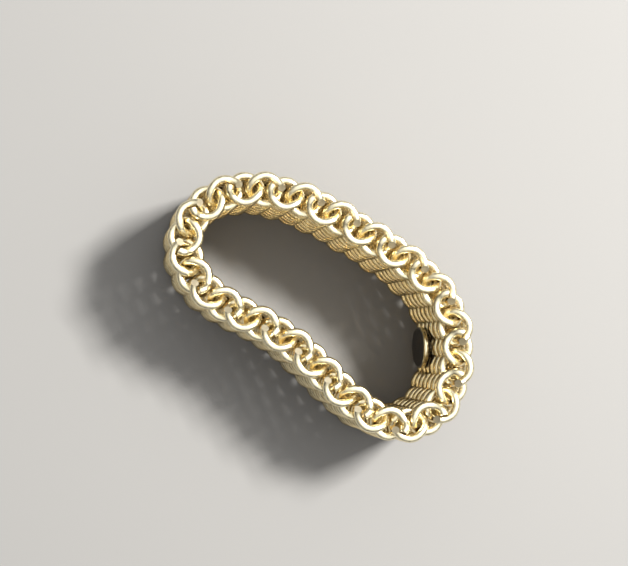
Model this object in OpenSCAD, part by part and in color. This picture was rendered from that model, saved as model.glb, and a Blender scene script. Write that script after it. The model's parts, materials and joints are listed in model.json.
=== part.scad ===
// Flexible mesh band ring: short coils of round silver wire, wound through each other in a closed band.
// The band stands on its edge, laid as a bean-shaped loop. Millimetres, +Z up.
// The origin is on the surface it stands on, at the middle of the loop's box.

/* [Wire] */
// Diameter of the round wire: 22 gauge
wire_d = 0.64; // [0.57:0.01:0.66]
// Radius of the short bend where a level pass turns down to a sloping end
bend_r = 0.5; // [0.4:0.05:0.6]

/* [Coils] */
// Distance along the band from one coil to the next
coil_pitch = 1.65; // [1.63:0.01:1.7]
// Half length of a coil along the band, to the middle of its wire
coil_half_length = 1.27; // [1.25:0.01:1.3]
// Half thickness of a coil through the band, to the middle of its wire
coil_half_depth = 1.1; // [1.06:0.01:1.12]
// Height that one turn of a coil climbs
turn_rise = 1.5; // [1.46:0.01:1.62]
// Passes across the band in each coil, inner and outer ones together
half_turns = 13; // [9:2:17]

/* [Plate inside the band] */
// Length of the oval plate along the band
plate_length = 3.5; // [3:0.1:3.7]
// Height of the oval plate across the band
plate_height = 4.8; // [4:0.1:5.4]
// Thickness of the plate
plate_thickness = 0.4; // [0.3:0.05:0.5]
// Height of the plate's middle above the lower edge of the band
plate_middle = 4.4; // [4:0.1:6]
// Gap that the solder keeps between the coil and the plate
solder_gap = 0.35; // [0.3:0.05:0.45]
// Width of the solder along the band
solder_width = 1; // [0.8:0.1:1.2]
// Height of the solder across the band
solder_height = 3.4; // [2.5:0.1:3.6]

/* [Hidden] */
$fn = 32;
// Coils in the closed band: the names in NODES and the joints need this number
coil_count = 38;
// The coil that carries the plate on its inner side, about a third of the way round
plate_coil = floor(coil_count / 3);
function coil_name(i) = str("coil_", i < 10 ? "0" : "", i);

silver = [0.85, 0.83, 0.77];
solder_silver = [0.78, 0.76, 0.7];

// Every second arc of the wire is this much thinner and runs a little way into its neighbours,
// so that the coil is one solid
arc_step = 0.01;
arc_overlap = 2;

// Where a coil's level face ends, as an angle from the band's direction about the middle of its arc
face_end = 37;
// How deep the solder reaches into the coil's wire and into the plate
solder_bite = 0.08;
// Set-back of the plate's top edge
plate_edge = 0.1;

// The loop as laid on the table: guide points of a closed B-spline, clockwise, scaled to the band's length
loop_guides = [[-11.5, 4], [-5.5, 6], [0, 6], [6.5, 6], [11, 3.5], [13.5, -3], [10, -7], [3.5, -5.5],
    [-2, -4], [-8.5, -5.5], [-13.5, -2]];
span_steps = 40;

// --- One turn of wire: level faces joined by sloping round ends ---
// The ends slope so that the next coil's wire passes between two turns with equal room on both sides.
// All of these follow from the slope at which the level face's bend ends.
function end_half_angle(slope) = asin(cos(slope) * sin(face_end));
function end_tilt(slope) = atan2(tan(slope), cos(face_end));
function end_r(slope) = (turn_rise / 4 - bend_r * (1 - cos(slope)))
    / (sin(end_half_angle(slope)) * sin(end_tilt(slope)));
function face_r(slope) = (coil_half_length - end_r(slope) * (1 - cos(end_half_angle(slope)))
    - bend_r * sin(slope) * sin(face_end)) / cos(face_end);
function half_depth(slope) = end_r(slope) * sin(end_half_angle(slope)) * cos(end_tilt(slope))
    + bend_r * sin(slope) * cos(face_end) + face_r(slope) * (1 - sin(face_end));
// The slope that gives the coil its depth, found by halving the range
slope_range = [8, 40];
slope_halvings = 40;
function find_slope(low, high, tries) =
    let (middle = (low + high) / 2)
    tries == 0 ? middle
        : half_depth(middle) > coil_half_depth ? find_slope(middle, high, tries - 1)
        : find_slope(low, middle, tries - 1);
slope = find_slope(slope_range[0], slope_range[1], slope_halvings);
end_half = end_half_angle(slope);

// The top of the band, level with the top of the domed wire ends
dome_r = (wire_d - arc_step) / 2;
band_height = half_turns * turn_rise / 2 + 2 * dome_r;

module wire_arc(radius, from, to, d = wire_d)
    rotate([0, 0, from]) rotate_extrude(angle = to - from) translate([radius, 0]) circle(d = d);

// The round end of a turn, tilted so that the wire drops from the inner side to the outer side
module end_arc(from, to)
    rotate([-end_tilt(slope), 0, 0]) translate([coil_half_length - end_r(slope), 0, 0])
        wire_arc(end_r(slope), from, to);

module face_arc()
    translate([0, coil_half_depth - face_r(slope), -turn_rise / 4])
        wire_arc(face_r(slope), face_end, 180 - face_end);

// The short bend from a sloping end to a level face, on the right side of the coil
module bend_arc()
    translate([0, coil_half_depth - face_r(slope), -turn_rise / 4]) rotate([0, 0, face_end])
        translate([face_r(slope), 0, bend_r]) rotate([0, 90, 0])
            wire_arc(bend_r, -slope - arc_overlap, arc_overlap, wire_d - arc_step);

// The same bend on the left side, from the level face down to the next sloping end
module bend_arc_down()
    translate([0, 0, -turn_rise / 2]) rotate([0, 180, 0]) bend_arc();

module wire_dome() sphere(r = dome_r);

// A whole coil about its own middle: +X along the band, +Y to the outer side, first wire end at the top
module coil() {
    for (k = [0 : half_turns - 1])
        translate([0, 0, -k * turn_rise / 2]) rotate([0, 0, 180 * k]) {
            end_arc(k == 0 ? 0 : -end_half, end_half);
            bend_arc();
            face_arc();
            bend_arc_down();
        }
    translate([coil_half_length, 0, 0]) wire_dome();
    translate([0, 0, -half_turns * turn_rise / 2]) rotate([0, 0, 180 * half_turns]) {
        end_arc(-end_half, 0);
        translate([coil_half_length, 0, 0]) wire_dome();
    }
}

// --- The loop: where each coil stands and which way it faces ---
band_length = coil_count * coil_pitch;
guide_count = len(loop_guides);
function blend(a, b, c, d, t) = ((1 - t) ^ 3 * a + (3 * t ^ 3 - 6 * t ^ 2 + 4) * b
    + (-3 * t ^ 3 + 3 * t ^ 2 + 3 * t + 1) * c + t ^ 3 * d) / 6;
function guide(i) = loop_guides[i % guide_count];
line = [for (i = [0 : guide_count - 1], j = [0 : span_steps - 1])
    blend(guide(i), guide(i + 1), guide(i + 2), guide(i + 3), j / span_steps)];
line_count = len(line);
function line_point(i) = line[i % line_count];
steps = [for (i = [0 : line_count - 1]) norm(line_point(i + 1) - line_point(i))];
line_length = steps * [for (s = steps) 1];
loop_scale = band_length / line_length;
// Distance along the line at each of its points
travel = [for (i = 0, s = 0; i <= line_count; s = s + (i < line_count ? steps[i] : 0), i = i + 1) s];
line_x = [for (i = [0 : line_count]) [travel[i], line_point(i)[0]]];
line_y = [for (i = [0 : line_count]) [travel[i], line_point(i)[1]]];
xs = [for (p = line) p[0]];
ys = [for (p = line) p[1]];
line_middle = [min(xs) + max(xs), min(ys) + max(ys)] / 2;
function loop_point(distance) =
    let (s = (distance + band_length) % band_length / loop_scale)
    loop_scale * ([lookup(s, line_x), lookup(s, line_y)] - line_middle);

// The pivot between coil i and the next one
function pivot(i) = loop_point((i - 0.5) * coil_pitch);
function coil_middle(i) = (pivot(i - 1) + pivot(i)) / 2;
function coil_heading(i) = let (v = pivot(i) - pivot(i - 1)) atan2(v[1], v[0]);

// Puts its children where coil i stands, with the band's lower edge on the ground
module at_coil(i)
    translate(coil_middle(i)) rotate([0, 0, coil_heading(i)]) children();

// Odd coils start on the outer side of the band and even coils, turned round, on the inner side
module coil_in_band(i)
    color(silver) at_coil(i) translate([0, 0, band_height - dome_r]) rotate([0, 0, i % 2 == 1 ? 0 : 180]) coil();

// --- The oval plate and its solder ---
inner_face = coil_half_depth + wire_d / 2;
plate_back = inner_face + solder_gap;

// An oval of four arcs: X is its height across the band and Y its length along the band
module oval(half_x, half_y, join = 60) {
    side_shift = (half_x - half_y) / (1 - (1 - sin(join)) / cos(join));
    tip_r = half_x - side_shift;
    side_r = tip_r + side_shift / cos(join);
    flat_x = side_shift + tip_r * cos(join);
    intersection() {
        for_both_sides(half_y - side_r) circle(r = side_r, $fn = 96);
        square([2 * flat_x, 3 * half_y], center = true);
    }
    for (side = [-1, 1]) translate([side * side_shift, 0]) circle(r = tip_r);
}

// What two mirrored copies of a shape have in common
module for_both_sides(shift)
    intersection() {
        translate([0, shift]) children();
        translate([0, -shift]) children();
    }

// Puts a flat shape on the inner side of the plate's coil, growing inwards from a given depth
module on_inner_side(depth)
    at_coil(plate_coil) translate([0, -depth, plate_middle]) rotate([90, 90, 0]) children();

module plate_solder()
    color(solder_silver) on_inner_side(inner_face - solder_bite)
        linear_extrude(solder_gap + 2 * solder_bite) oval(solder_height / 2, solder_width / 2);

module inside_plate()
    color(silver) on_inner_side(plate_back) {
        linear_extrude(plate_thickness - plate_edge) oval(plate_height / 2, plate_length / 2);
        linear_extrude(plate_thickness) oval(plate_height / 2 - plate_edge, plate_length / 2 - plate_edge);
    }

for (i = [1 : coil_count])
    coil_in_band(i);
plate_solder();
inside_plate();
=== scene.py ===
import json
import math

import bmesh
import bpy
from mathutils import Matrix, Vector
from mathutils.bvhtree import BVHTree

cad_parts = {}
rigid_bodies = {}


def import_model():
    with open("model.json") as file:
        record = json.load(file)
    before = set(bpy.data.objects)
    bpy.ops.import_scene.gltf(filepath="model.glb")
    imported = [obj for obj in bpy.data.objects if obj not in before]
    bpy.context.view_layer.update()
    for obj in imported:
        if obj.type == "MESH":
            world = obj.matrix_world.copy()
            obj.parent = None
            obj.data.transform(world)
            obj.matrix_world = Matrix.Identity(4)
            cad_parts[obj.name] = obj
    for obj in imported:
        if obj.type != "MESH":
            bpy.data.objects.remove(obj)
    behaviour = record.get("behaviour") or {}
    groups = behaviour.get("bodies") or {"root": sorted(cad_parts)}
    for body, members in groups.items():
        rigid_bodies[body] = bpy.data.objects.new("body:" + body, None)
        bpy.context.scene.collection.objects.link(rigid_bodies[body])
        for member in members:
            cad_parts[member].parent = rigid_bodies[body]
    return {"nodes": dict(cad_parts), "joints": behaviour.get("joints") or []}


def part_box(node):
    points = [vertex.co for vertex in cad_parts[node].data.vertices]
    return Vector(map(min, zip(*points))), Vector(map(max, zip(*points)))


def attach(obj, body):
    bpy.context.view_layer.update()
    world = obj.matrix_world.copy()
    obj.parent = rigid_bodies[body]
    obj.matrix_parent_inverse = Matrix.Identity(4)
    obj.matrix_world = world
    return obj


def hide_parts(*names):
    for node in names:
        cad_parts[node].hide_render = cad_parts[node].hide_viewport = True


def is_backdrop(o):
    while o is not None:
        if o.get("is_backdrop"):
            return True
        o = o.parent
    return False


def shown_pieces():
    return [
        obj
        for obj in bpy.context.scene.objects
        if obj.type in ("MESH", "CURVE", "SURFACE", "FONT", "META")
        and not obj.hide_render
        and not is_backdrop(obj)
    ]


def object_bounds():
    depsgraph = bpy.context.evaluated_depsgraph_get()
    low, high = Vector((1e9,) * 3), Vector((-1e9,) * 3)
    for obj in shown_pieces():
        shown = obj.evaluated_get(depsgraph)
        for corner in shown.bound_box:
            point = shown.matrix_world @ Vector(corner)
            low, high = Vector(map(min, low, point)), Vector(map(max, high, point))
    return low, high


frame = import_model()
cad_low, cad_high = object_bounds()

# --- The view ---
# A close look down into the open band from a little to one side, turned so that the
# long way of the loop runs from the upper left to the lower right of the picture.
photo_width, photo_height = 628, 566
lens_place = Vector((-0.014202, -0.012298, 0.123972))
lens_aim = Vector((-0.001085, 0.000984, 0.00517))
lens_roll = math.radians(76.0)

eye = bpy.data.cameras.new("ring_view")
eye.sensor_fit = "AUTO"
eye.sensor_width = 36
eye.lens = 83.222
eye.clip_start, eye.clip_end = 0.005, 2
eye_object = bpy.data.objects.new("ring_view", eye)
bpy.context.scene.collection.objects.link(eye_object)
bpy.context.scene.camera = eye_object
bpy.context.scene.view_settings.view_transform = "Standard"
bpy.context.scene.view_settings.look = "Medium High Contrast"
look = (lens_aim - lens_place).to_track_quat("-Z", "Y").to_matrix() @ Matrix.Rotation(lens_roll, 3, "Z")
eye_object.matrix_world = Matrix.Translation(lens_place) @ look.to_4x4()


def in_picture(place):
    """Where a place in the model shows in the photograph's frame, in pixels from its upper left."""
    seen = eye_object.matrix_world.inverted() @ Vector(place)
    scale = max(photo_width, photo_height) * eye.lens / eye.sensor_width / -seen.z
    return photo_width / 2 + seen.x * scale, photo_height / 2 - seen.y * scale


# --- The coils ---
# Thirty-eight short coils of round silver wire, wound flat and oval and threaded through each
# other, so that each one turns a little in the next. Nothing joins them but the winding.
# The wire is painted bright where it is rubbed, and golden to black where its neighbours shelter
# it: tarnish and painted shade together.
wire_diameter = 0.00064
coil_half_length = 0.00128
coil_half_depth = 0.0011
turn_rise = 0.0015
half_turns = 13

# Lengths are in metres. Half length lies along the band and half depth across it. Level part and
# Level corner flatten the turns where they face the finger and the outside, Corner pull draws the
# oval's corners in, and Hand wound is how far a turn strays from its place.
winding = bpy.data.node_groups.new("wound_coil", "GeometryNodeTree")
for label, kind, value in (
        ("Wire diameter", "Float", wire_diameter), ("Half length", "Float", coil_half_length),
        ("Half depth", "Float", coil_half_depth), ("Turn rise", "Float", turn_rise),
        ("Half turns", "Int", half_turns), ("Steps in a half turn", "Int", 24), ("Sides", "Int", 20),
        ("End reach", "Float", 0.0), ("End bevel", "Float", 0.00004), ("End steps", "Int", 3),
        ("Cut slant", "Float", 0.0), ("Level part", "Float", 0.85), ("Level corner", "Float", 0.15),
        ("Corner pull", "Float", 0.05), ("Hand wound", "Float", 0.00007), ("Seed", "Float", 0.0),
        ("Place", "Vector", None), ("Heading", "Float", 0.0), ("Wire", "Material", None)):
    knob = winding.interface.new_socket(label, in_out="INPUT", socket_type="NodeSocket" + kind)
    if value is not None:
        knob.default_value = value
winding.interface.new_socket("Coil", in_out="OUTPUT", socket_type="NodeSocketGeometry")


def put(tree, kind, sockets=None, **settings):
    """Adds a node, with its settings and with values or links for its input sockets."""
    node = tree.nodes.new(kind)
    for key, value in settings.items():
        setattr(node, key, value)
    for key, value in (sockets or {}).items():
        if isinstance(value, bpy.types.NodeSocket):
            tree.links.new(value, node.inputs[key])
        else:
            node.inputs[key].default_value = value
    return node


def sum_of(tree, kind, operation, values):
    """The output of a math node of a kind, for one, two or three values or sockets."""
    return put(tree, kind, dict(enumerate(values)), operation=operation).outputs[0]


def fade(tree, value, start, end, low=0.0, high=1.0):
    """A soft change from low, where the value is at its start, to high, where it is at its end."""
    return put(tree, "ShaderNodeMapRange", {"Value": value, "From Min": start, "From Max": end,
                                            "To Min": low, "To Max": high},
               interpolation_type="SMOOTHSTEP").outputs[0]


def calc(operation, *values):
    """A sum of single numbers in the coil's tree."""
    return sum_of(winding, "ShaderNodeMath", operation, values)


def times(product, *factors):
    """Two or more numbers of the coil's tree, multiplied in this order."""
    for factor in factors:
        product = calc("MULTIPLY", product, factor)
    return product


def arrow(operation, *values):
    """A sum of places or directions in the coil's tree."""
    return sum_of(winding, "ShaderNodeVectorMath", operation, values)


def scaled(vector, factor):
    """A direction of the coil's tree, made longer or shorter."""
    return put(winding, "ShaderNodeVectorMath", {0: vector, "Scale": factor}, operation="SCALE").outputs[0]


def store(geometry, name, value, kind="FLOAT", domain="POINT"):
    """The geometry with a named value kept on each of its points or faces."""
    sockets = {"Geometry": geometry, "Name": name, "Value": value}
    return put(winding, "GeometryNodeStoreNamedAttribute", sockets, data_type=kind, domain=domain).outputs[0]


def stored(name, kind="FLOAT"):
    """A value that was kept on the geometry under this name."""
    return put(winding, "GeometryNodeInputNamedAttribute", {"Name": name}, data_type=kind).outputs[0]


given = winding.nodes.new("NodeGroupInput").outputs
index = put(winding, "GeometryNodeInputIndex").outputs[0]

# The angle that the wire has turned through at each point of its middle line. The first and the
# last few points lie in the bevels, closer and closer together, where the wire gets thinner.
quarter_turn = math.pi / 2
cut_size = 0.88
steps = times(given["Half turns"], given["Steps in a half turn"])
last = calc("ADD", steps, times(given["End steps"], 2.0))
whole = calc("MINIMUM", calc("MAXIMUM", calc("SUBTRACT", index, given["End steps"]), 0.0), steps)
from_start = times(calc("MINIMUM", calc("DIVIDE", index, given["End steps"]), 1.0), quarter_turn)
from_end = calc("DIVIDE", calc("SUBTRACT", last, index), given["End steps"])
from_end = times(calc("MINIMUM", from_end, 1.0), quarter_turn)
end_turn = calc("DIVIDE", given["End bevel"], given["Half depth"])
reach_turn = calc("DIVIDE", given["End reach"], given["Half depth"])
wound_turn = times(given["Half turns"], math.pi)
full_turn = calc("ADD", wound_turn, times(reach_turn, 2.0))
turned = calc("SUBTRACT", times(calc("DIVIDE", whole, steps), full_turn), reach_turn)
before = times(calc("COSINE", from_start), end_turn)
after = times(calc("COSINE", from_end), end_turn)
turn = calc("ADD", calc("SUBTRACT", turned, before), after)
end_size = times(calc("SINE", from_start), calc("SINE", from_end))
end_size = calc("MULTIPLY_ADD", end_size, 1 - cut_size, cut_size)

# A flat oval with its corners drawn in. It drops at its two ends along the band, and lies nearly
# level along the finger side and the outside. Past the last half turn it doesn't drop at all.
pull = times(calc("POWER", calc("SINE", times(turn, 2.0)), 2.0), given["Corner pull"])
keep = calc("SUBTRACT", 1.0, pull)
x = times(calc("COSINE", turn), keep, given["Half length"])
y = times(calc("SINE", turn), keep, given["Half depth"])
inside = calc("MINIMUM", calc("MAXIMUM", turn, 0.0), wound_turn)
level = times(calc("SINE", times(inside, 2.0)), given["Level part"])
corner = times(calc("SINE", times(inside, 4.0)), given["Level corner"])
fall = calc("DIVIDE", calc("ADD", calc("ADD", inside, level), corner), -2 * math.pi)
z = times(fall, given["Turn rise"])
spot = put(winding, "ShaderNodeCombineXYZ", {"X": x, "Y": y, "Z": z}).outputs[0]

# A hand-wound turn strays a little from the turn before it.
stray_pace = 0.35
stray_at = put(winding, "ShaderNodeCombineXYZ", {"X": times(turn, stray_pace), "Y": given["Seed"]}).outputs[0]
stray = put(winding, "ShaderNodeTexNoise", {"Vector": stray_at, "Scale": 1.0, "Detail": 1.0}).outputs["Color"]
stray = arrow("SUBTRACT", stray, (0.5, 0.5, 0.5))
spot = arrow("ADD", spot, scaled(stray, given["Hand wound"]))

# Round wire along that line, closed by a flat disc at either end.
line = put(winding, "GeometryNodeCurvePrimitiveLine").outputs[0]
line = put(winding, "GeometryNodeResampleCurve", {"Curve": line, "Count": calc("ADD", last, 1.0)}).outputs[0]
path = put(winding, "GeometryNodeSetPosition", {"Geometry": line, "Position": spot}).outputs[0]
path = store(path, "turned", turn)
path = store(path, "tangent", put(winding, "GeometryNodeInputTangent").outputs[0], "FLOAT_VECTOR")
path = store(path, "centre", put(winding, "GeometryNodeInputPosition").outputs[0], "FLOAT_VECTOR")
path = put(winding, "GeometryNodeSetCurveRadius", {"Curve": path, "Radius": end_size}).outputs[0]
wire_radius = calc("DIVIDE", given["Wire diameter"], 2.0)
rim = put(winding, "GeometryNodeCurvePrimitiveCircle", {"Resolution": given["Sides"],
                                                        "Radius": wire_radius}).outputs[0]
rim = store(rim, "round_wire", times(calc("DIVIDE", index, given["Sides"]), 2 * math.pi))
coil = put(winding, "GeometryNodeCurveToMesh", {"Curve": path, "Profile Curve": rim,
                                                "Fill Caps": True}).outputs[0]

# The cutter leaves the discs on a slant: near an end, each spot moves along the wire by a share of
# its height above the middle line. That is full within cut_turn of the end and gone by lean_turn.
lean_turn, cut_turn = 0.4, 0.05
place = put(winding, "GeometryNodeInputPosition").outputs[0]
turned_at = stored("turned")
above = arrow("SUBTRACT", place, stored("centre", "FLOAT_VECTOR"))
above = put(winding, "ShaderNodeSeparateXYZ", {0: above}).outputs["Z"]
middle_turn = times(given["Half turns"], quarter_turn)
from_middle = calc("ABSOLUTE", calc("SUBTRACT", turned_at, middle_turn))
to_end = calc("SUBTRACT", calc("ADD", middle_turn, reach_turn), from_middle)
slant = times(above, fade(winding, to_end, lean_turn, cut_turn), given["Cut slant"])
slant = scaled(stored("tangent", "FLOAT_VECTOR"), slant)
coil = put(winding, "GeometryNodeSetPosition", {"Geometry": coil, "Offset": slant}).outputs[0]

# How bright a spot is painted, for wear and painted shade together. "outward" is 1 on the outside of
# the oval and -1 in its hollow, "lean" is 1 on top of the wire, and "depth" counts the turns from the
# nearer edge of the band. Bright, as rubbed, are the crests of the turns, the open side of the band's
# two edges and the hollows near them. Their undersides are painted darker as painted shade, the
# crests' more than the edges'; the hollows further in are left dark, for tarnish and painted shade.
flat = arrow("NORMALIZE", arrow("MULTIPLY", place, (1.0, 1.0, 0.0)))
facing = put(winding, "GeometryNodeInputNormal").outputs[0]
outward = put(winding, "ShaderNodeVectorMath", {0: flat, 1: facing}, operation="DOT_PRODUCT").outputs["Value"]
height = put(winding, "ShaderNodeSeparateXYZ", {0: place}).outputs["Z"]
lean = put(winding, "ShaderNodeSeparateXYZ", {0: facing}).outputs["Z"]
half_height = times(given["Half turns"], given["Turn rise"], 0.25)
off_middle = calc("ADD", height, half_height)
depth = calc("SUBTRACT", half_height, calc("ABSOLUTE", off_middle))
depth = calc("DIVIDE", depth, given["Turn rise"])
crest = fade(winding, outward, start=0.25, end=0.6)
edge = fade(winding, depth, start=1.1, end=0.5)
open_side = fade(winding, times(lean, calc("SIGN", off_middle)), start=-0.5, end=0.3)
near_edge = fade(winding, depth, start=3.4, end=1.8)
hollow = fade(winding, outward, start=0.2, end=-0.1)
# Painted shade: the less a face turns upward, the darker it is painted.
edge_underside_shade = fade(winding, lean, start=0.5, end=0.0, low=1.0, high=0.45)
wall_underside_shade = fade(winding, lean, start=0.8, end=0.25, low=1.0, high=0.25)
in_reach = calc("MAXIMUM", times(edge, open_side), times(near_edge, hollow))
coil = store(coil, "wear_and_painted_shade", calc("MAXIMUM", times(crest, wall_underside_shade), times(in_reach, edge_underside_shade)))

# Where a spot lies round the wire and along it, for the streaks that the drawing of the wire left.
run_in_a_turn, run_between_seeds = 4.0, 100.0
round_at = stored("round_wire")
run_along = calc("ADD", times(turned_at, run_in_a_turn), times(given["Seed"], run_between_seeds))
run = put(winding, "ShaderNodeCombineXYZ", {"X": calc("COSINE", round_at), "Y": calc("SINE", round_at),
                                            "Z": run_along}).outputs[0]
coil = store(coil, "wire_run", run, "FLOAT_VECTOR")

# The two discs have more corners than the faces of the round wall, and they alone are shaded flat.
wall_corners = 4
corners = put(winding, "GeometryNodeInputMeshFaceNeighbors").outputs["Vertex Count"]
cut_end = put(winding, "FunctionNodeCompare", {"A": corners, "B": wall_corners},
              data_type="INT", operation="GREATER_THAN").outputs[0]
coil = store(coil, "cut_end", cut_end, domain="FACE")
round_wall = put(winding, "FunctionNodeBooleanMath", {0: cut_end}, operation="NOT").outputs[0]
coil = put(winding, "GeometryNodeSetShadeSmooth", {"Geometry": coil, "Shade Smooth": round_wall}).outputs[0]
heading = put(winding, "ShaderNodeCombineXYZ", {"Z": given["Heading"]}).outputs[0]
coil = put(winding, "GeometryNodeTransform", {"Geometry": coil, "Translation": given["Place"],
                                              "Rotation": heading}).outputs[0]
coil = put(winding, "GeometryNodeRealizeInstances", {"Geometry": coil}).outputs[0]
coil = put(winding, "GeometryNodeSetMaterial", {"Geometry": coil, "Material": given["Wire"]}).outputs[0]
winding.links.new(coil, winding.nodes.new("NodeGroupOutput").inputs[0])


def empty_material(name):
    """A material that holds no nodes yet, and its tree."""
    made = bpy.data.materials.new(name)
    made.use_nodes = True
    made.node_tree.nodes.clear()
    return made, made.node_tree


def sum_in(tree, operation, *values):
    """A sum of single numbers in a material's tree."""
    return sum_of(tree, "ShaderNodeMath", operation, values)


def kept_on(tree, name, output="Fac"):
    """A value that the mesh brings with it under this name."""
    return put(tree, "ShaderNodeAttribute", attribute_name=name).outputs[output]


def noise(tree, at, scale, detail):
    """Soft spots, so many of them to the metre."""
    return put(tree, "ShaderNodeTexNoise", {"Vector": at, "Scale": scale, "Detail": detail}).outputs["Fac"]


def tint_by(tree, amount, stops):
    """A colour that follows an amount through these stops, each an amount and a colour."""
    ramp = put(tree, "ShaderNodeValToRGB", {"Fac": amount})
    elements = ramp.color_ramp.elements
    while len(elements) < len(stops):
        elements.new(0.5)
    for element, (position, colour) in zip(elements, stops):
        element.position = position
        element.color = (*colour, 1)
    return ramp.outputs["Color"]


def mix_tints(tree, share, first, second):
    """The first colour where the share is 0, and the second where it is 1."""
    return put(tree, "ShaderNodeMix", {"Factor": share, "A": first, "B": second}, data_type="RGBA").outputs[2]


def bumps_from(tree, heights, distance, strength, below=None):
    """Bumps of at most this distance in height, on top of those below them."""
    sockets = {"Height": heights, "Distance": distance, "Strength": strength}
    if below is not None:
        sockets["Normal"] = below
    return put(tree, "ShaderNodeBump", sockets).outputs[0]


def end_in_metal(tree, colour, roughness, bumps):
    """The last two nodes of a material: plain metal, and the surface that shows it."""
    metal = put(tree, "ShaderNodeBsdfPrincipled", {"Base Color": colour, "Metallic": 1.0,
                                                   "Roughness": roughness, "Normal": bumps}).outputs[0]
    tree.links.new(metal, put(tree, "ShaderNodeOutputMaterial").inputs["Surface"])


# Tarnish and painted shade lie where nothing rubs, and lie thickest where two coils nearly touch,
# where the dark stands for tarnish and for the shade in the crevice. The tarnish comes and goes in
# patches. The wire has streaks from drawing and small dents from wear, and its cut ends are greyer
# and rougher than its wall.
most_shade_and_tarnish = 0.85
clean_gap, dark_gap, crevice_shade_and_tarnish = 0.00024, 0.00009, 0.8
patch_spread, patch_shift = 0.5, -0.22
streak_rough, least_rough, cut_rough = 0.24, 0.13, 0.25
silver_wire, silver = empty_material("worn_silver_wire_and_painted_shade")
object_at = put(silver, "ShaderNodeTexCoord").outputs["Object"]
streaks_at = put(silver, "ShaderNodeMapping", {"Vector": kept_on(silver, "wire_run", "Vector"),
                                               "Scale": (5.0, 5.0, 0.35)}).outputs[0]
streaks = noise(silver, streaks_at, 3.0, 4.0)
patches = noise(silver, object_at, 900.0, 3.0)
dents = noise(silver, object_at, 2600.0, 2.0)
# Painted crevice shade with tarnish: darker the nearer the next coil lies.
crevice = fade(silver, kept_on(silver, "gap"), clean_gap, dark_gap, high=crevice_shade_and_tarnish)
unrubbed_shade_and_tarnish = sum_in(silver, "MAXIMUM", sum_in(silver, "SUBTRACT", most_shade_and_tarnish, kept_on(silver, "wear_and_painted_shade")), 0.0)
unrubbed_shade_and_tarnish = sum_in(silver, "ADD", unrubbed_shade_and_tarnish, crevice)
painted_shade_and_tarnish = sum_in(silver, "ADD", unrubbed_shade_and_tarnish, sum_in(silver, "MULTIPLY_ADD", patches, patch_spread, patch_shift))
# From bright silver through golden to near black, for painted shade and tarnish together.
wire_tint = tint_by(silver, painted_shade_and_tarnish, (
    (0.05, (0.97, 0.89, 0.65)), (0.4, (0.95, 0.77, 0.42)), (0.85, (0.11, 0.055, 0.015))))
cut_at = kept_on(silver, "cut_end")
wire_tint = mix_tints(silver, cut_at, wire_tint, (0.44, 0.40, 0.31, 1))
rough = sum_in(silver, "MULTIPLY_ADD", streaks, streak_rough, least_rough)
rough = sum_in(silver, "MULTIPLY_ADD", cut_at, cut_rough, rough)
bumps = bumps_from(silver, dents, 0.00006, 0.5)
end_in_metal(silver, wire_tint, rough, bumps_from(silver, streaks, 0.00002, 0.5, below=bumps))

# The coils stand in a ring, and every second one is turned half round. Its ends reach past the
# last half turn. The ends of the coils between stop short of it, and are cut on a slant.
long_reach, short_reach = 0.0003, -0.00028
short_slant = 0.4
seed_step = 1.37
pivots = {joint["parent"]: Vector(joint["pos_m"]) for joint in frame["joints"]}
coil_names = sorted(name for name in frame["nodes"] if name.startswith("coil_"))
wire_top = cad_high.z - wire_diameter / 2
knobs = {item.name: item.identifier for item in winding.interface.items_tree if item.in_out == "INPUT"}
coil_place = {}
wound_coils = []
for number, name in enumerate(coil_names, 1):
    low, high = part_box(name)
    middle = (low + high) / 2
    if name in pivots:
        along = pivots[name] - middle
    else:
        along = middle - pivots[coil_names[number - 2]]
    turn_of = math.atan2(along.y, along.x)
    coil_place[name] = (middle, turn_of)
    turned_round = number % 2 == 0
    holder = bpy.data.objects.new("holder", bpy.data.meshes.new("holder"))
    bpy.context.scene.collection.objects.link(holder)
    wound = holder.modifiers.new("winding", "NODES")
    wound.node_group = winding
    wound[knobs["Seed"]] = number * seed_step
    wound[knobs["End reach"]] = long_reach if turned_round else short_reach
    wound[knobs["Cut slant"]] = 0.0 if turned_round else short_slant
    wound[knobs["Place"]] = (middle.x, middle.y, wire_top)
    wound[knobs["Heading"]] = turn_of + math.pi if turned_round else turn_of
    wound[knobs["Wire"]] = silver_wire
    made = bpy.data.meshes.new_from_object(holder.evaluated_get(bpy.context.evaluated_depsgraph_get()))
    bpy.data.objects.remove(holder)
    wound_coils.append(made)
    piece = bpy.data.objects.new("silver_" + name, made)
    bpy.context.scene.collection.objects.link(piece)
    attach(piece, name)
    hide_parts(name)

# Each spot's distance from the coil before and the coil after, as far as the painted crevice shade
# and the tarnish need it.
farthest_gap = 0.0005
surfaces = [BVHTree.FromPolygons([vertex.co for vertex in made.vertices],
                                 [face.vertices for face in made.polygons]) for made in wound_coils]
for number, made in enumerate(wound_coils):
    beside = (surfaces[number - 1], surfaces[(number + 1) % len(surfaces)])
    gaps = []
    for vertex in made.vertices:
        found = [surface.find_nearest(vertex.co, farthest_gap)[3] for surface in beside]
        gaps.append(min([gap for gap in found if gap is not None], default=farthest_gap))
    made.attributes.new("gap", "FLOAT", "POINT").data.foreach_set("value", gaps)

# --- The inside plate ---
# A small oval plate of polished silver on the finger side of one coil, cut from sheet and left bare.
# Its edge is rounded and rubbed bright, and its face is painted near black, a painted dark reflection.
plate_length = 0.0035
plate_height = 0.0048
plate_thickness = 0.0004
solder_gap = 0.00035
low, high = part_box("inside_plate")
plate_level = (low.z + high.z) / 2
plate_coil_middle, plate_turn = coil_place["coil_12"]
along_band = Vector((math.cos(plate_turn), math.sin(plate_turn), 0))
to_finger = Vector((math.sin(plate_turn), -math.cos(plate_turn), 0))
coil_face = Vector((plate_coil_middle.x, plate_coil_middle.y, plate_level))
coil_face += to_finger * (coil_half_depth + wire_diameter / 2)


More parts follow.
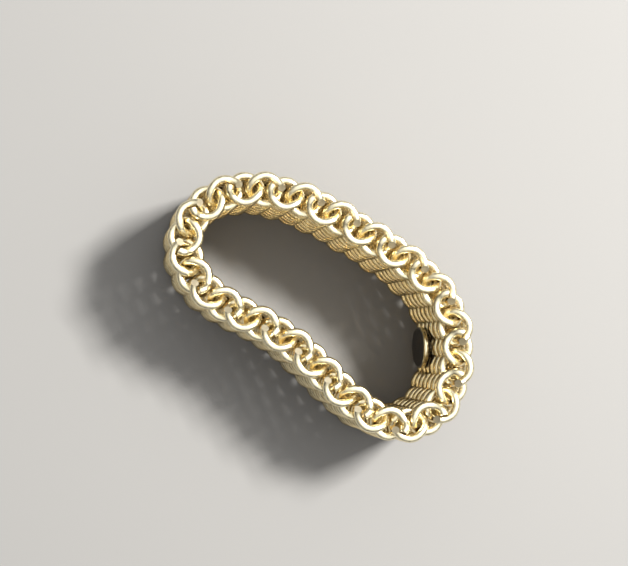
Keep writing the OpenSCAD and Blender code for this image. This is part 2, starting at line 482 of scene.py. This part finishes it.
def layered_oval(name, half_length, half_height, layers, attribute, material):
    """A solid of oval layers, each an inset, a height above the coil's face and a value to keep on it."""
    sides = 96
    roundness = 0.94
    shape = bmesh.new()
    shade = shape.verts.layers.float.new(attribute)
    rows = []
    for inset, rise, value in layers:
        row = []
        for side in range(sides):
            angle = 2 * math.pi * side / sides
            across = math.copysign(abs(math.cos(angle)) ** roundness, math.cos(angle)) * (half_length - inset)
            upward = math.copysign(abs(math.sin(angle)) ** roundness, math.sin(angle)) * (half_height - inset)
            spot = coil_face + along_band * across + Vector((0, 0, upward)) + to_finger * rise
            corner = shape.verts.new(spot)
            corner[shade] = value
            row.append(corner)
        rows.append(row)
    for under, over in zip(rows, rows[1:]):
        for side in range(sides):
            after = (side + 1) % sides
            shape.faces.new((under[side], under[after], over[after], over[side]))
    shape.faces.new(rows[0][::-1])
    shape.faces.new(rows[-1])
    bmesh.ops.recalc_face_normals(shape, faces=shape.faces)
    made = bpy.data.meshes.new(name)
    shape.to_mesh(made)
    shape.free()
    made.polygons.foreach_set("use_smooth", [True] * len(made.polygons))
    made.materials.append(material)
    piece = bpy.data.objects.new(name, made)
    bpy.context.scene.collection.objects.link(piece)
    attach(piece, "coil_12")
    return piece


# Polished silver with a haze and fine scratches; its face is painted near black as a painted dark reflection.
haze_spread, haze_shift = 0.3, -0.15
haze_rough, polish_rough = 0.2, 0.08
plate_silver, plate = empty_material("polished_plate_silver_painted_dark_face")
plate_at = put(plate, "ShaderNodeTexCoord").outputs["Object"]
haze = noise(plate, plate_at, 900.0, 5.0)
scratch_at = put(plate, "ShaderNodeMapping", {"Vector": plate_at, "Rotation": (0.3, 0.2, plate_turn),
                                              "Scale": (1.0, 1.0, 14.0)}).outputs[0]
scratches = noise(plate, scratch_at, 1600.0, 3.0)
# Low on the face, for the painted dark reflection, and high on the bright rim, with haze.
polish_and_painted_shade = sum_in(plate, "MULTIPLY_ADD", haze, haze_spread, haze_shift)
polish_and_painted_shade = sum_in(plate, "ADD", kept_on(plate, "wear_and_painted_shade"), polish_and_painted_shade)
plate_tint = tint_by(plate, polish_and_painted_shade, ((0.1, (0.07, 0.05, 0.035)), (0.8, (0.95, 0.88, 0.66))))
plate_rough = sum_in(plate, "MULTIPLY_ADD", haze, haze_rough, polish_rough)
end_in_metal(plate, plate_tint, plate_rough, bumps_from(plate, scratches, 0.00001, 0.25))

# From the back of the plate, round its edge, to its face.
front = solder_gap + plate_thickness
# The third number of each layer sets the face's painted dark reflection against the bright rim.
plate_piece = layered_oval("oval_inside_plate", plate_length / 2, plate_height / 2, (
    (0.00016, solder_gap, 0.1), (0.00005, solder_gap, 0.3), (0.00001, solder_gap + 0.00004, 0.6),
    (0, solder_gap + 0.0001, 0.9), (0, front - 0.00018, 1.0), (0.00002, front - 0.0001, 1.0),
    (0.00006, front - 0.00004, 0.9), (0.00013, front - 0.00001, 0.5), (0.0002, front, 0.15),
    (0.0006, front, 0.0)), "wear_and_painted_shade", plate_silver)
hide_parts("inside_plate")

# --- The solder ---
# A flat pool of silver solder between the plate and its coil, drawn up to both of them as it set.
# It is dull, a little greyer than the wire, and can only be seen from the side.
pit_rough, least_solder_rough = 0.3, 0.3
solder_silver, solder = empty_material("dull_silver_solder")
pits = noise(solder, put(solder, "ShaderNodeTexCoord").outputs["Object"], 2500.0, 4.0)
solder_tint = mix_tints(solder, pits, (0.62, 0.55, 0.42, 1), (0.30, 0.24, 0.16, 1))
solder_rough = sum_in(solder, "MULTIPLY_ADD", pits, pit_rough, least_solder_rough)
end_in_metal(solder, solder_tint, solder_rough, bumps_from(solder, pits, 0.00003, 0.6))

# From inside the coil's wire, over the pool's waist, to just inside the plate's back.
pool_half_length, pool_half_height = 0.0005, 0.0017
solder_piece = layered_oval("plate_solder_pool", pool_half_length, pool_half_height, (
    (0.0, -0.00008, 0.0), (0.00002, 0.00005, 0.0), (0.00009, 0.00012, 0.0), (0.00012, 0.00018, 0.0),
    (0.00009, 0.00025, 0.0), (0.00002, 0.00031, 0.0), (-0.00006, solder_gap, 0.0),
    (-0.00006, solder_gap + 0.00006, 0.0)), "wear_and_painted_shade", solder_silver)
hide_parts("plate_solder")

# --- The table and the light ---
# A plain pale surface under the band. The sky is bright overhead, more so to one side, and dark
# near the horizon, which draws a dark line along every wire. One small soft lamp adds the glints.
floor_half, floor_level = 0.4, -0.00003
floor_mesh = bpy.data.meshes.new("table_top")
floor_mesh.from_pydata([(-floor_half, -floor_half, floor_level), (floor_half, -floor_half, floor_level),
                        (floor_half, floor_half, floor_level), (-floor_half, floor_half, floor_level)],
                       [], [(0, 1, 2, 3)])
floor = bpy.data.objects.new("table_top", floor_mesh)
bpy.context.scene.collection.objects.link(floor)
pale = bpy.data.materials.new("pale_table")
pale.use_nodes = True
pale.node_tree.nodes["Principled BSDF"].inputs["Base Color"].default_value = (0.24, 0.237, 0.233, 1)
pale.node_tree.nodes["Principled BSDF"].inputs["Roughness"].default_value = 0.9
floor_mesh.materials.append(pale)
floor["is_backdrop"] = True

brightest_way = (0.26, 0.44, 0.86)
world = bpy.data.worlds.new("studio")
bpy.context.scene.world = world
world.use_nodes = True
sky = world.node_tree
sky_at = put(sky, "ShaderNodeTexCoord").outputs["Generated"]
towards = put(sky, "ShaderNodeVectorMath", {0: sky_at, 1: brightest_way},
              operation="DOT_PRODUCT").outputs["Value"]
glow = put(sky, "ShaderNodeMapRange", {"Value": towards, "From Min": 0.0, "From Max": 0.95,
                                       "To Min": 0.3, "To Max": 1.1}).outputs[0]
upward = put(sky, "ShaderNodeSeparateXYZ", {0: sky_at}).outputs["Z"]
glow = sum_in(sky, "MULTIPLY", glow, fade(sky, upward, start=0.25, end=0.6, low=0.09, high=1.08))
sky.links.new(glow, sky.nodes["Background"].inputs["Strength"])
sky.nodes["Background"].inputs["Color"].default_value = (1, 0.99, 0.97, 1)

lamp_place = Vector((0.09, 0.16, 0.24))
band_middle = Vector((0, 0, 0.005))
lamp = bpy.data.lights.new("key_light", "AREA")
lamp.shape = "SQUARE"
lamp.size = 0.06
lamp.energy = 1.9
lamp.color = (1.0, 0.98, 0.94)
light = bpy.data.objects.new("key_light", lamp)
light.location = lamp_place
light.rotation_mode = "QUATERNION"
light.rotation_quaternion = (band_middle - lamp_place).to_track_quat("-Z", "Y")
bpy.context.scene.collection.objects.link(light)

# --- Sizes and picture points ---
# What the camera should show, in pixels of the photograph's frame, against what it does show.
feature_points = {
    "coil_36_inner_bend": (244, 203), "coil_02_inner_bend": (320, 225), "coil_06_inner_bend": (390, 263),
    "coil_10_inner_bend": (440, 318), "coil_14_inner_bend": (440, 385), "coil_18_inner_bend": (390, 409),
    "coil_22_inner_bend": (333, 362), "coil_26_inner_bend": (264, 313), "coil_30_inner_bend": (205, 265),
}
bpy.context.view_layer.update()
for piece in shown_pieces():
    for vertex in piece.data.vertices:
        px, py = in_picture(piece.matrix_world @ vertex.co)
for label, (px, py) in feature_points.items():
    middle, turn_of = coil_place[label.removesuffix("_inner_bend")]
